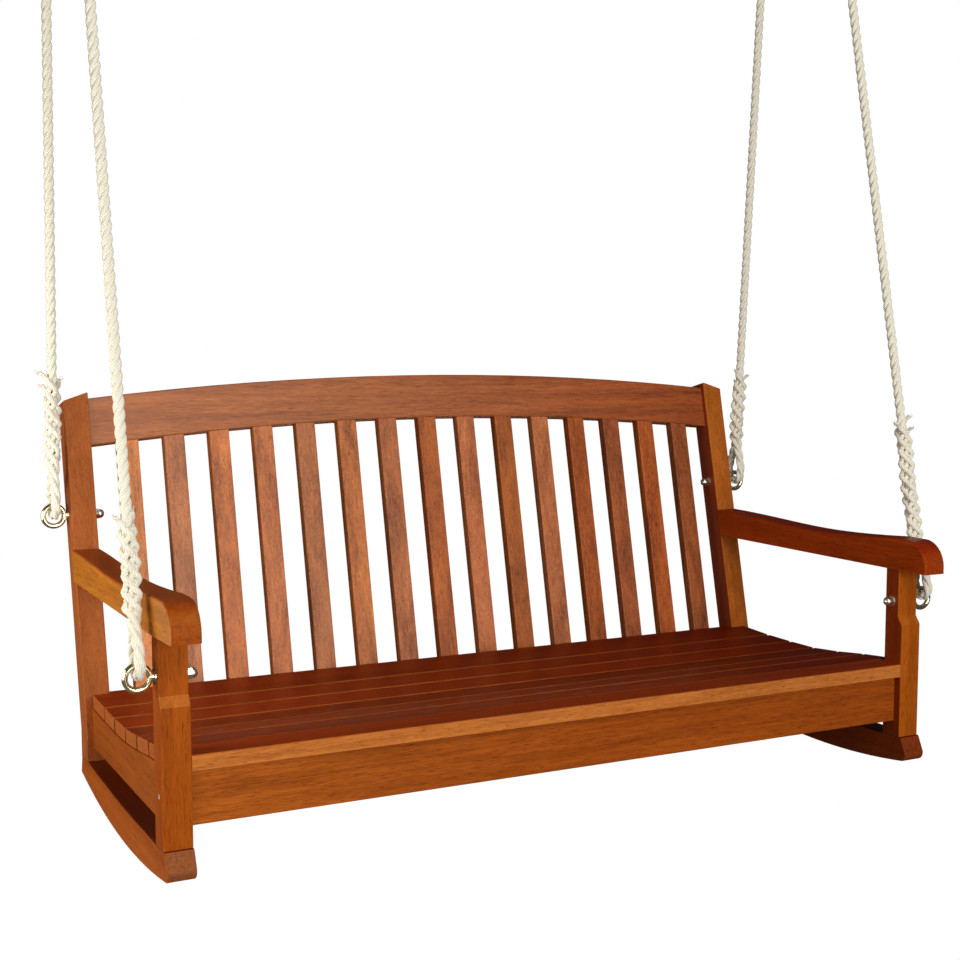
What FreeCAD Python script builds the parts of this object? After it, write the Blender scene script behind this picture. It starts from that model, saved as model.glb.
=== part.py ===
"""Porch swing seat: a slatted hardwood bench hung by four ropes from four ceiling hooks.

Millimetres. +X is the sitter's left-to-right as seen from the front, +Y runs from the front of the
seat to its back, +Z is up. The origin is on the ceiling plane, at the centre of the four hook shanks.
The bench is drawn in its own bench frame (x = 0 on the centre line, y = 0 on the front of the front
posts, z = 0 at the feet of the posts) and moved to the ceiling frame when it is written out.
"""
import FreeCAD, Part
import math
import os

V = FreeCAD.Vector

# ---- driving dimensions of the bench ----
HALF_WIDTH = 610.0          # centre line to the outer face of the posts
POST = 38.0                 # posts, skids: width along X
POST_IN = HALF_WIDTH - POST
EDGE = 1.6                  # rounding of sawn wood edges

FRONT_POST_DEPTH = 38.0
FRONT_POST_UPPER_Y = 9.0    # the post is thinned from the front above its shoulder
SHOULDER_Z = (180.0, 193.0)
ARM_UNDER_Z = 267.0

RAKE = 12.8                 # lean of the back, degrees from vertical
REAR_FOOT_Y = (430.0, 471.0)
REAR_BEND_Z = 38.0
REAR_DEPTH = 40.0
BACK_ORIGIN = (444.4, 101.57)   # y, z where the seat meets the front plane of the rear posts
POST_TOP_INNER = 459.0      # along the rake from BACK_ORIGIN
POST_TOP_OUTER = 446.0

SLAT_THICK = 20.0
SLAT_PITCH = 63.25
SLAT_GAP = 7.0
FIRST_GAP_Y = 51.0
FRONT_SLAT_DEPTH = 47.5
NOSING_R = 4.0
SLAT_HALF_LENGTH = 598.0
SLAT_COUNT = 6              # full-length slats behind the front slat

RAIL_OUT = 600.0            # side rails, set in from the post faces
RAIL_THICK = 22.0
FRAME_BOTTOM_Z = 24.0
APRON_Y = (13.0, 35.0)
REAR_APRON_Y = (440.0, 462.0)
REAR_APRON_TOP = 51.0
BATTEN_X = 200.0

BACK_SLATS = 15
BACK_PITCH = 73.34
BACK_SLAT_WIDTH = 32.8
BACK_SLAT_THICK = 18.6
BACK_SLAT_U = 10.5          # slat face behind the front plane of the rear posts
RAIL_U = 9.0                # crest and lower rail face behind that plane
BACK_RAIL_THICK = 24.0
LOWER_RAIL_HEIGHT = 45.0
CREST_TOP = 481.5           # along the rake, at the middle
CREST_HEIGHT = 73.5
CREST_RADIUS = 5320.0
TENON = (24.0, 11.0, 14.0)  # back slat tenons: width, thickness, length

ARM_X = (570.5, 613.0)
ARM_NOSE_X = 609.5          # the outer face tapers in at the nose
ARM_TAPER_Y = 22.0
ARM_FRONT_Y = -50.0
ARM_NOSE_R = 40.0
ARM_TOP_Z = 316.3

# ---- hardware ----
EYE_X = 632.0               # ring centres and ropes, from the centre line
RING_R = 15.5
RING_WIRE_R = 3.9
SHANK_R = 4.0
FRONT_EYE = (23.5, 216.0)   # y, z of the eye bolt's axis
REAR_EYE = (525.0, 363.0)
NUT_AF = 14.0
NUT_DOME_R = 6.9
WASHER_R = 10.0
WASHER_T = 1.8
DOWEL_R = 5.0
PIN_R = 1.3
POST_SCREW = (16.5, 65.6)   # y, z of the screw through each front post into the apron
SCREW_HEAD_R = 3.4
SCREW_SHANK_R = 1.9

HOOK_Y = {"front": 264.0, "rear": 458.0}
CEILING_Z = 1460.0
HOOK_BEARING_Z = 1400.0     # centre of the wire at the bottom of the hook
HOOK_WIRE_R = 4.5
HOOK_R = 18.0
NECK_R = 12.0
STUD_R = 5.0
STUD_LENGTH = 55.0
COLLAR_R = 11.0
COLLAR_T = 5.0
ROPE_R = 7.5
SPLICE_R = 13.0

ORIGIN = V(0.0, (HOOK_Y["front"] + HOOK_Y["rear"]) / 2, CEILING_Z)

# Each eye of a rope: the radius of its bend, and how far the bend's centre lies from the pivot
# towards the rope. The rear lower eyes are the open pivot of the linkage, so they are wide.
EYE_BEND = {("front", "lower"): (12.0, 0.0), ("front", "upper"): (12.5, 0.0),
            ("rear", "lower"): (16.0, 1.8), ("rear", "upper"): (12.5, 0.0)}
EYE_LENGTH = 60.0           # from the pivot to where the two legs meet
EYE_LEG = 18.0              # straight part of a leg beyond the bend's centre
EYE_JOIN = -2.5             # where the two halves of an eye meet, across the rope's line

SPLICE_LENGTH = {("left", "front"): 200.0, ("right", "front"): 290.0,
                 ("left", "rear"): 215.0, ("right", "rear"): 190.0}
UPPER_SPLICE_LENGTH = 145.0


# ---- helpers ----
def yz_prism(outline, x0, x1):
    """A closed outline of (y, z) points or ready edges, drawn out from x0 to x1."""
    if isinstance(outline[0], tuple):
        points = [V(x0, y, z) for y, z in outline]
        wire = Part.makePolygon(points + points[:1])
    else:
        wire = Part.Wire(Part.__sortEdges__(outline))
    return Part.Face(wire).extrude(V(x1 - x0, 0, 0))


def box(x, y, z):
    return Part.makeBox(x[1] - x[0], y[1] - y[0], z[1] - z[0], V(x[0], y[0], z[0]))


def line(a, b, x):
    return Part.LineSegment(V(x, *a), V(x, *b)).toShape()


def arc(a, b, c, x):
    return Part.Arc(V(x, *a), V(x, *b), V(x, *c)).toShape()


def curve(points, x):
    spline = Part.BSplineCurve()
    spline.interpolate([V(x, y, z) for y, z in points])
    return spline.toShape()


def eased(shape, radius=EDGE, keep=None):
    """Round the edges, or only those for which keep(edge) is true."""
    edges = [e for e in shape.Edges if keep is None or keep(e)]
    return shape.makeFillet(radius, edges)


def along_x(edge):
    box_ = edge.BoundBox
    return box_.XLength > 0.9 * edge.Length


def x_cylinder(radius, x0, x1, y, z):
    return Part.makeCylinder(radius, x1 - x0, V(x0, y, z), V(1, 0, 0))


def mirrored(shape):
    return shape.mirror(V(0, 0, 0), V(1, 0, 0))


def one_solid(shape):
    """The single solid of a boolean result."""
    solids = shape.Solids
    if len(solids) != 1:
        raise ValueError("expected one solid, got %d" % len(solids))
    return solids[0]


def cut_all(shape, tools):
    """Cut several bodies away and keep one solid."""
    return one_solid(shape.cut(tools))


def raked(shape):
    """Move a shape from the back's own plane (x, depth, height) to the bench frame."""
    moved = shape.copy()
    moved.rotate(V(0, 0, 0), V(1, 0, 0), -RAKE)
    moved.translate(V(0, *BACK_ORIGIN))
    return moved


def back_point(depth, height):
    """(y, z) in the bench frame of a point given in the back's own plane."""
    c = math.cos(math.radians(RAKE))
    s = math.sin(math.radians(RAKE))
    return (BACK_ORIGIN[0] + depth * c + height * s, BACK_ORIGIN[1] - depth * s + height * c)


def seat_top(y):
    """Height of the dished seat surface."""
    u = min(max((y - 20.0) / 245.0, 0.0), 1.0)
    fall = 20.2 * u * u * (3 - 2 * u)
    rise = 4.4 * max(0.0, (y - 310.0) / 144.0) ** 2
    return 117.4 - fall + rise


def slat_spans():
    """Front and back edge of each full-length slat."""
    spans = []
    for i in range(SLAT_COUNT):
        front = FIRST_GAP_Y + SLAT_PITCH * i + SLAT_GAP / 2
        back = front + SLAT_PITCH - SLAT_GAP
        if i == SLAT_COUNT - 1:
            back = 452.5
        spans.append((front, back))
    return spans


def slat_corners(span):
    """Underside corners (y, z) of the slat that covers a span."""
    front, back = span
    ends = (V(0, front, seat_top(front)), V(0, back, seat_top(back)))
    run = (ends[1] - ends[0]).normalize()
    down = V(0, run.z, -run.y) * SLAT_THICK
    return [(p.y + down.y, p.z + down.z) for p in ends]


# ---- bench: sides ----
def skid_blank():
    """One curved skid, seen from the side, with its blunt rounded front."""
    x = -HALF_WIDTH
    edges = [arc((-4, 0.6), (228, -2.6), (470, 5.8), x),
             line((470, 5.8), (478, -24.0), x),
             arc((478, -24.0), (215, -52.4), (-7, -37), x),
             arc((-7, -37), (-13.6, -31.5), (-15, -23), x),
             line((-15, -23), (-4, 0.6), x)]
    return yz_prism(edges, x, -POST_IN)


def front_post(skid):
    outline = [(0, -6), (FRONT_POST_DEPTH, -6), (FRONT_POST_DEPTH, ARM_UNDER_Z),
               (FRONT_POST_UPPER_Y, ARM_UNDER_Z), (FRONT_POST_UPPER_Y, SHOULDER_Z[1]),
               (0, SHOULDER_Z[0])]
    post = yz_prism(outline, -HALF_WIDTH, -POST_IN)
    post = eased(post, EDGE, lambda e: not along_x(e))
    return one_solid(post.cut(skid))


def rear_post(skid):
    front_top = back_point(0, POST_TOP_INNER)
    rear_top = back_point(REAR_DEPTH, POST_TOP_INNER)
    knee = back_point(REAR_DEPTH, 0)
    lean = math.tan(math.radians(RAKE))
    knee_z = knee[1] - (knee[0] - REAR_FOOT_Y[1]) / lean
    outline = [(REAR_FOOT_Y[0], -6), (REAR_FOOT_Y[1], -6), (REAR_FOOT_Y[1], knee_z),
               rear_top, front_top, (REAR_FOOT_Y[0], REAR_BEND_Z)]
    post = yz_prism(outline, -HALF_WIDTH, -POST_IN)
    beyond = 5.0
    outer = POST_TOP_OUTER - beyond * (POST_TOP_INNER - POST_TOP_OUTER) / POST
    slope = Part.makePolygon([V(-POST_IN, -20, POST_TOP_INNER), V(-HALF_WIDTH - beyond, -20, POST_TOP_INNER),
                              V(-HALF_WIDTH - beyond, -20, outer), V(-POST_IN, -20, POST_TOP_INNER)])
    wedge = raked(Part.Face(slope).extrude(V(0, 90, 0)))
    post = one_solid(post.cut(wedge))
    post = eased(post, EDGE, lambda e: not along_x(e) and e.BoundBox.ZMin > -5)
    return one_solid(post.cut(skid))


def side_rail():
    """Upright board between the posts; its top follows the undersides of the slats."""
    top = [(FRONT_POST_DEPTH, seat_top(FRONT_POST_DEPTH) - SLAT_THICK)]
    for span in slat_spans()[:-1]:
        top.extend(slat_corners(span))
    last = slat_corners(slat_spans()[-1])
    top.append(last[0])
    rear_y = 439.0
    slope = (last[1][1] - last[0][1]) / (last[1][0] - last[0][0])
    top.append((rear_y, last[0][1] + slope * (rear_y - last[0][0])))
    bottom = [(REAR_FOOT_Y[0], REAR_BEND_Z), (REAR_FOOT_Y[0], FRAME_BOTTOM_Z),
              (FRONT_POST_DEPTH, FRAME_BOTTOM_Z)]
    return yz_prism(top + bottom, -RAIL_OUT, -RAIL_OUT + RAIL_THICK)


def seat_batten(x):
    """Front-to-back bearer under the slats."""
    top = [(APRON_Y[1], FRAME_BOTTOM_Z + 12), (APRON_Y[1], seat_top(APRON_Y[1]) - SLAT_THICK),
           (FRONT_SLAT_DEPTH, seat_top(FRONT_SLAT_DEPTH) - SLAT_THICK)]
    for span in slat_spans()[:-1]:
        top.extend(slat_corners(span))
    last = slat_corners(slat_spans()[-1])
    top.append(last[0])
    slope = (last[1][1] - last[0][1]) / (last[1][0] - last[0][0])
    top.append((REAR_APRON_Y[0], last[0][1] + slope * (REAR_APRON_Y[0] - last[0][0])))
    top.append((REAR_APRON_Y[0], FRAME_BOTTOM_Z + 5))
    return yz_prism(top, x - RAIL_THICK / 2, x + RAIL_THICK / 2)


def arm():
    """Armrest: flat underneath, dished on top, with a quarter-round nose."""
    x = -ARM_X[1]
    rear_low = back_point(0, (ARM_UNDER_Z - BACK_ORIGIN[1]) / math.cos(math.radians(RAKE)))
    rear_high = back_point(0, 217.3)
    nose_y = ARM_FRONT_Y + ARM_NOSE_R
    nose_z = ARM_TOP_Z - ARM_NOSE_R
    diagonal = ARM_NOSE_R * math.sqrt(0.5)
    edges = [line((ARM_FRONT_Y, ARM_UNDER_Z), rear_low, x),
             line(rear_low, rear_high, x),
             curve([rear_high, (350, 310.2), (221, 307.0), (110, 310.6), (30, ARM_TOP_Z)], x),
             line((30, ARM_TOP_Z), (nose_y, ARM_TOP_Z), x),
             arc((nose_y, ARM_TOP_Z), (nose_y - diagonal, nose_z + diagonal), (ARM_FRONT_Y, nose_z), x),
             line((ARM_FRONT_Y, nose_z), (ARM_FRONT_Y, ARM_UNDER_Z), x)]
    blank = yz_prism(edges, x, -ARM_X[0])
    taper = Part.makePolygon([V(x - 1, ARM_TAPER_Y, 200), V(x, ARM_TAPER_Y, 200),
                              V(-ARM_NOSE_X, ARM_FRONT_Y - 1, 200), V(x - 1, ARM_FRONT_Y - 1, 200),
                              V(x - 1, ARM_TAPER_Y, 200)])
    blank = one_solid(blank.cut(Part.Face(taper).extrude(V(0, 0, 200))))
    upper = [e for e in blank.Edges if not along_x(e) and e.BoundBox.ZMax > ARM_UNDER_Z + 6
             and e.BoundBox.ZLength < 60 and e.BoundBox.YMax < 480]
    return blank.makeFillet(3.0, upper)


# ---- bench: seat ----
def front_apron():
    top = seat_top(0) - SLAT_THICK
    return eased(box((-POST_IN, POST_IN), APRON_Y, (FRAME_BOTTOM_Z, top)), EDGE, along_x)


def rear_apron():
    return eased(box((-POST_IN, POST_IN), REAR_APRON_Y, (FRAME_BOTTOM_Z, REAR_APRON_TOP)), EDGE, along_x)


def front_slat():
    top = seat_top(0)
    slat = box((-POST_IN, POST_IN), (0, FRONT_SLAT_DEPTH), (top - SLAT_THICK, top))
    nosing = [e for e in slat.Edges if along_x(e) and e.BoundBox.YMax < 1 and e.BoundBox.ZMax > top - 1]
    return slat.makeFillet(NOSING_R, nosing)


def seat_slat(span, notched):
    """A full-length slat lying on the dished line; the last one is notched round the rear posts."""
    front, back = span
    lower = slat_corners(span)
    outline = [(front, seat_top(front)), (back, seat_top(back)), lower[1], lower[0]]
    slat = yz_prism(outline, -SLAT_HALF_LENGTH, SLAT_HALF_LENGTH)
    slat = eased(slat, EDGE)
    if notched:
        for side in (-1, 1):
            x = sorted((side * (POST_IN - 0.5), side * (SLAT_HALF_LENGTH + 5)))
            slat = one_solid(slat.cut(box(x, (439.0, 470), (60, 130))))
        back = box((-POST_IN, POST_IN), (RAIL_U - 0.3, RAIL_U + 40), (-60, 30))
        slat = one_solid(slat.cut(raked(back)))
    return slat


# ---- bench: back ----
def rail_arc(height, x):
    """Height of the crest's curve at x, for a curve that peaks at the given height."""
    return height - (CREST_RADIUS - math.sqrt(CREST_RADIUS ** 2 - x ** 2))


def crest_blank():
    low = CREST_TOP - CREST_HEIGHT
    u = RAIL_U
    end_low = rail_arc(low, POST_IN)
    end_top = rail_arc(CREST_TOP, POST_IN)
    corners = [V(-POST_IN, u, end_low), V(POST_IN, u, end_low), V(POST_IN, u, end_top), V(-POST_IN, u, end_top)]
    edges = [Part.Arc(corners[0], V(0, u, low), corners[1]).toShape(),
             Part.LineSegment(corners[1], corners[2]).toShape(),
             Part.Arc(corners[2], V(0, u, CREST_TOP), corners[3]).toShape(),
             Part.LineSegment(corners[3], corners[0]).toShape()]
    return Part.Face(Part.Wire(edges)).extrude(V(0, BACK_RAIL_THICK, 0))


def lower_rail_blank():
    return box((-POST_IN, POST_IN), (RAIL_U, RAIL_U + BACK_RAIL_THICK), (-LOWER_RAIL_HEIGHT, 0))


def tenon_box(x, low, high, grow):
    """A tenon, or the mortise for it when grow is more than nothing."""
    width = TENON[0] / 2 + grow
    middle = BACK_SLAT_U + BACK_SLAT_THICK / 2
    return box((x - width, x + width), (middle - TENON[1] / 2 - grow, middle + TENON[1] / 2 + grow), (low, high))


def back_slat_centres():
    return [(k - (BACK_SLATS - 1) / 2) * BACK_PITCH for k in range(BACK_SLATS)]


def back_slat(x, crest):
    """One upright slat with a tenon at each end; its top is cut to the crest's curve."""
    top = rail_arc(CREST_TOP - CREST_HEIGHT, x)
    slat = box((x - BACK_SLAT_WIDTH / 2, x + BACK_SLAT_WIDTH / 2),
               (BACK_SLAT_U, BACK_SLAT_U + BACK_SLAT_THICK), (0, top + 8))
    slat = eased(slat, EDGE, lambda e: e.BoundBox.ZLength > 100)
    slat = max(slat.cut(crest).Solids, key=lambda s: s.Volume)
    slat = slat.fuse(tenon_box(x, -TENON[2], 4, 0))
    return one_solid(slat.fuse(tenon_box(x, top - 12, top + TENON[2], 0)))


def crest_rail(blank):
    rail = blank.makeChamfer(EDGE, [e for e in blank.Edges if e.BoundBox.XLength > 500])
    for x in back_slat_centres():
        top = rail_arc(CREST_TOP - CREST_HEIGHT, x)
        rail = rail.cut(tenon_box(x, top - 12, top + TENON[2] + 0.5, 0.1))
    return one_solid(rail)


def lower_rail(blank):
    rail = eased(blank, EDGE, along_x)
    for x in back_slat_centres():
        rail = rail.cut(tenon_box(x, -TENON[2] - 0.5, 4, 0.1))
    return one_solid(rail)


# ---- hardware ----
def eye_bolt(eye):
    """Left-hand eye bolt: a ring outside the post and a shank through it."""
    ring = Part.makeTorus(RING_R, RING_WIRE_R, V(-EYE_X, *eye), V(0, 1, 0))
    shank = x_cylinder(SHANK_R, -EYE_X + RING_R - 1, -POST_IN + 12, *eye)
    collar = x_cylinder(6.5, -HALF_WIDTH - WASHER_T - 3, -HALF_WIDTH - WASHER_T, *eye)
    return one_solid(shank.fuse([ring, collar]))


def washer(eye):
    disc = x_cylinder(WASHER_R, -HALF_WIDTH - WASHER_T, -HALF_WIDTH, *eye)
    return disc.cut(x_cylinder(SHANK_R + 0.3, -HALF_WIDTH - 5, -HALF_WIDTH + 5, *eye))


def cap_nut(eye):
    """Domed nut on the inner end of the shank."""
    x0 = -POST_IN
    flange = x_cylinder(8.6, x0, x0 + 1.6, *eye)
    radius = NUT_AF / math.sqrt(3)
    corners = [V(x0 + 1.6, eye[0] + radius * math.cos(math.radians(60 * k)),
                 eye[1] + radius * math.sin(math.radians(60 * k))) for k in range(7)]
    hexagon = Part.Face(Part.makePolygon(corners)).extrude(V(6.0, 0, 0))
    dome = Part.makeSphere(NUT_DOME_R, V(x0 + 9.0, *eye))
    neck = x_cylinder(NUT_DOME_R, x0 + 7.6, x0 + 9.0, *eye)
    bore = x_cylinder(SHANK_R + 0.05, x0 - 1, x0 + 12.1, *eye)
    return one_solid(flange.fuse([hexagon, neck, dome]).cut(bore))


def post_screw(grow):
    """Screw through the front post into the end of the apron, or the hole for it."""
    head = x_cylinder(SCREW_HEAD_R + grow, -HALF_WIDTH - grow * 5, -HALF_WIDTH + 3.0, *POST_SCREW)
    shank = x_cylinder(SCREW_SHANK_R + grow, -HALF_WIDTH + 1, -HALF_WIDTH + 60.0 + grow, *POST_SCREW)
    return head.fuse(shank)


def hook(y):
    """Ceiling hook: lag shank, collar, and a round bent hook that opens sideways."""
    zc = HOOK_BEARING_Z + HOOK_R
    x = -EYE_X
    lift = math.sqrt((HOOK_R + NECK_R) ** 2 - NECK_R ** 2)
    neck_centre = V(x - NECK_R, y, zc + lift)
    join = V(x, y, zc) + (neck_centre - V(x, y, zc)) * (HOOK_R / (HOOK_R + NECK_R))

    def on_circle(centre, radius, degrees):
        a = math.radians(degrees)
        return centre + V(radius * math.cos(a), 0, radius * math.sin(a))

    centre = V(x, y, zc)
    start = V(x, y, CEILING_Z - COLLAR_T / 2)
    neck_top = V(x, y, zc + lift)
    path = Part.Wire([
        Part.LineSegment(start, neck_top).toShape(),
        Part.Arc(neck_top, on_circle(neck_centre, NECK_R, -33.2), join).toShape(),
        Part.Arc(join, on_circle(centre, HOOK_R, 249.3), on_circle(centre, HOOK_R, 385)).toShape()])
    ring = Part.Wire(Part.makeCircle(HOOK_WIRE_R, start, V(0, 0, 1)))
    wire = path.makePipeShell([ring], True, True)
    tip = Part.makeSphere(HOOK_WIRE_R, on_circle(centre, HOOK_R, 385))
    collar = Part.makeCylinder(COLLAR_R, COLLAR_T, V(x, y, CEILING_Z - COLLAR_T))
    stud = Part.makeCylinder(STUD_R, STUD_LENGTH - 9, V(x, y, CEILING_Z))
    point = Part.makeCone(STUD_R, 1.2, 9, V(x, y, CEILING_Z + STUD_LENGTH - 9))
    return one_solid(wire.fuse([tip, collar, stud, point]))


# ---- ropes ----
def tangent_path(points, first_radius, last_radius):
    """Straight runs joined by tangent arcs; returns the wire and the radii used."""
    edges = []
    radii = []
    at = points[0]
    for i in range(1, len(points) - 1):
        before = (points[i] - points[i - 1]).normalize()
        after = (points[i + 1] - points[i]).normalize()
        half = before.getAngle(after) / 2
        shorter = min((points[i] - points[i - 1]).Length, (points[i + 1] - points[i]).Length)
        radius = 0.45 * shorter / math.tan(half)
        if i == 1 and first_radius:
            radius = first_radius
        if i == len(points) - 2 and last_radius:
            radius = last_radius
        reach = radius * math.tan(half)
        a = points[i] - before * reach
        b = points[i] + after * reach
        inward = (after - before).normalize()
        centre = points[i] + inward * (radius / math.cos(half))
        middle = centre - inward * radius
        edges.append(Part.LineSegment(at, a).toShape())
        edges.append(Part.Arc(a, middle, b).toShape())
        radii.append(round(radius, 1))
        at = b
    edges.append(Part.LineSegment(at, points[-1]).toShape())
    return Part.Wire(edges), radii


def tube(points, radius, first_radius=None, last_radius=None, label=None):
    path, radii = tangent_path(points, first_radius, last_radius)
    profile = Part.Wire(Part.makeCircle(radius, points[0], points[1] - points[0]))
    body = path.makePipeShell([profile], True, True)
    if label:
        ideal = math.pi * radius ** 2 * path.Length
        print("%s: length %.1f, volume ratio %.4f, radii %s" % (label, path.Length, body.Volume / ideal, radii))
    return body


def pivots(row):
    """Pivot on the eye bolt's ring and pivot on the hook, in the plane x = 0."""
    eye = FRONT_EYE if row == "front" else REAR_EYE
    return {"lower": V(0, eye[0], eye[1] + RING_R), "upper": V(0, HOOK_Y[row], HOOK_BEARING_Z)}


def eye_points(row, end):
    """Corners of the half eye that the standing rope makes, from its join to the rope's own line."""
    places = pivots(row)
    base = places[end]
    along = (places["upper" if end == "lower" else "lower"] - base).normalize()
    across = V(0, along.z, -along.y) if end == "lower" else V(0, -along.z, along.y)
    bend, shift = EYE_BEND[row, end]
    local = [(shift - bend, EYE_JOIN), (shift - bend, bend), (shift + EYE_LEG, bend), (EYE_LENGTH, 0)]
    return [base + along * a + across * b + V(-EYE_X, 0, 0) for a, b in local]


def rope(row, side):
    points = eye_points(row, "lower") + eye_points(row, "upper")[::-1]
    label = "%s_%s_rope" % (side, row)
    return tube(points, ROPE_R, EYE_BEND[row, "lower"][0], EYE_BEND[row, "upper"][0], label)


def splice(row, end, length):
    """The other half of an eye and the thick tucked part above it, as one solid."""
    places = pivots(row)
    base = places[end] + V(-EYE_X, 0, 0)
    axis = (places["upper" if end == "lower" else "lower"] - places[end]).normalize()
    bend = EYE_BEND[row, end][0]
    start, near = eye_points(row, end)[:2]
    corner = start + (start - near).normalize() * (bend + 1.0)
    leg = [start, corner, corner + axis * (bend + 22), base + axis * 68, base + axis * 90]
    half_eye = tube(leg, ROPE_R, bend)
    profile = [(0, 50), (8.5, 50), (SPLICE_R, 74), (SPLICE_R, length - 45), (9.0, length), (0, length)]
    side = V(0, -axis.z, axis.y)
    wire = Part.makePolygon([base + axis * t + side * r for r, t in profile + profile[:1]])
    body = Part.Face(wire).revolve(base, axis, 360)
    return one_solid(half_eye.fuse(body))


# ---- hidden joinery ----
def frame_dowels():
    """Left-hand dowels of the side frame, as (centre, direction, length) in the bench frame."""
    places = []
    for z in (42.0, 78.0):
        places.append((V(-POST_IN - 18, 27.0, z), V(1, 0, 0), 40.0))       # front apron to post
    for z in (42.0, 72.0):
        places.append((V(-589.0, 18.0, z), V(0, 1, 0), 40.0))              # side rail to front post
    places.append((V(-589.0, 412.0, 46.0), V(0, 1, 0), 40.0))             # side rail to rear post
    places.append((V(-POST_IN - 18, 451.0, 37.0), V(1, 0, 0), 38.0))      # rear apron to post
    places.append((V(-591.0, 19.0, -18.0), V(0, 0, 1), 38.0))             # skid to front post
    places.append((V(-591.0, 451.0, -14.0), V(0, 0, 1), 38.0))            # skid to rear post
    places.append((V(-591.0, 24.0, 247.0), V(0, 0, 1), 42.0))             # front post to arm
    for height in (388.0, 436.0):
        y, z = back_point(RAIL_U + BACK_RAIL_THICK / 2, height)
        places.append((V(-POST_IN - 18, y, z), V(1, 0, 0), 38.0))          # crest rail to post
    y, z = back_point(RAIL_U + BACK_RAIL_THICK / 2, -22.0)
    places.append((V(-POST_IN - 18, y, z), V(1, 0, 0), 38.0))              # lower rail to post
    places.append((V(-591.0, 468.0, 290.0), V(0, 1, 0), 38.0))            # arm to rear post
    return places


def slat_pins():
    """Pins that hold the slats down, as (top point, direction, length)."""
    places = []
    for x in (-589.0, -BATTEN_X):
        for span in slat_spans():
            for part in (0.25, 0.75):
                y = span[0] + part * (min(span[1], 436.0) - span[0])
                places.append((V(x, y, seat_top(y) - 4.0), V(0, 0, -1), 30.0))
    for x in (-480.0, -BATTEN_X, -60.0):
        places.append((V(x, 24.0, seat_top(24.0) - 4.0), V(0, 0, -1), 30.0))
    return places


def rods(places, radius):
    """Cylinders at the given places on the left, with their mirror images on the right."""
    left = [Part.makeCylinder(radius, length, at, way) for at, way, length in places]
    return left + [mirrored(rod) for rod in left]


def build():
    """Every sub-part by name, in the bench frame."""
    nodes = {}
    dowels = rods(frame_dowels(), DOWEL_R)
    dowel_holes = rods(frame_dowels(), DOWEL_R + 0.05)
    pins = rods(slat_pins(), PIN_R)
    pin_holes = rods(slat_pins(), PIN_R + 0.05)

    skid = skid_blank()
    screw_holes = [post_screw(0.05), mirrored(post_screw(0.05))]
    eye_holes = [x_cylinder(SHANK_R + 0.2, -HALF_WIDTH - 5, -POST_IN + 5, *eye) for eye in (FRONT_EYE, REAR_EYE)]
    left = {
        "skid": cut_all(eased(skid), dowel_holes),
        "front_post": cut_all(front_post(skid), dowel_holes + eye_holes + screw_holes),
        "rear_post": cut_all(rear_post(skid), dowel_holes + eye_holes),
        "side_rail": cut_all(side_rail(), dowel_holes + pin_holes),
        "arm": cut_all(arm(), dowel_holes),
        "front_eye_bolt": eye_bolt(FRONT_EYE),
        "rear_eye_bolt": eye_bolt(REAR_EYE),
    }
    for name, shape in left.items():
        nodes["left_" + name] = shape
        nodes["right_" + name] = mirrored(shape)

    nodes["front_apron"] = cut_all(front_apron(), dowel_holes + pin_holes + screw_holes)
    nodes["rear_apron"] = cut_all(rear_apron(), dowel_holes)
    nodes["left_seat_batten"] = cut_all(seat_batten(-BATTEN_X), pin_holes)
    nodes["right_seat_batten"] = mirrored(nodes["left_seat_batten"])
    nodes["seat_slat_1"] = cut_all(front_slat(), pin_holes)
    for i, span in enumerate(slat_spans()):
        nodes["seat_slat_%d" % (i + 2)] = cut_all(seat_slat(span, i == SLAT_COUNT - 1), pin_holes)

    crest = crest_blank()
    nodes["crest_rail"] = cut_all(raked(crest_rail(crest)), dowel_holes)
    nodes["lower_back_rail"] = cut_all(raked(lower_rail(lower_rail_blank())), dowel_holes)
    for k, x in enumerate(back_slat_centres()):
        nodes["back_slat_%02d" % (k + 1)] = raked(back_slat(x, crest))

    washers = [washer(eye) for eye in (FRONT_EYE, REAR_EYE)]
    nuts = [cap_nut(eye) for eye in (FRONT_EYE, REAR_EYE)]
    nodes["eye_bolt_washers"] = Part.makeCompound(washers + [mirrored(w) for w in washers])
    nodes["cap_nuts"] = Part.makeCompound(nuts + [mirrored(n) for n in nuts])
    nodes["frame_dowels"] = Part.makeCompound(dowels)
    nodes["slat_pins"] = Part.makeCompound(pins)
    nodes["post_screws"] = Part.makeCompound([one_solid(post_screw(0)), mirrored(one_solid(post_screw(0)))])

    for row in ("front", "rear"):
        for side in ("left", "right"):
            place = (lambda s: s) if side == "left" else mirrored
            nodes["%s_%s_hook" % (side, row)] = place(hook(HOOK_Y[row]))
            nodes["%s_%s_rope" % (side, row)] = place(rope(row, side))
            ends = [place(splice(row, "lower", SPLICE_LENGTH[side, row])),
                    place(splice(row, "upper", UPPER_SPLICE_LENGTH))]
            nodes["%s_%s_splices" % (side, row)] = Part.makeCompound(ends)
    return nodes


os.makedirs("parts", exist_ok=True)
for node, shape in build().items():
    shape = shape.copy()
    shape.translate(ORIGIN * -1)
    if not shape.isValid():
        print("NOT VALID:", node)
    shape.exportStep("parts/%s.step" % node)
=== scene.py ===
"""Looks of the porch swing seat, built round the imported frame. Metres, in the frame's own axes."""

import math

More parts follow.
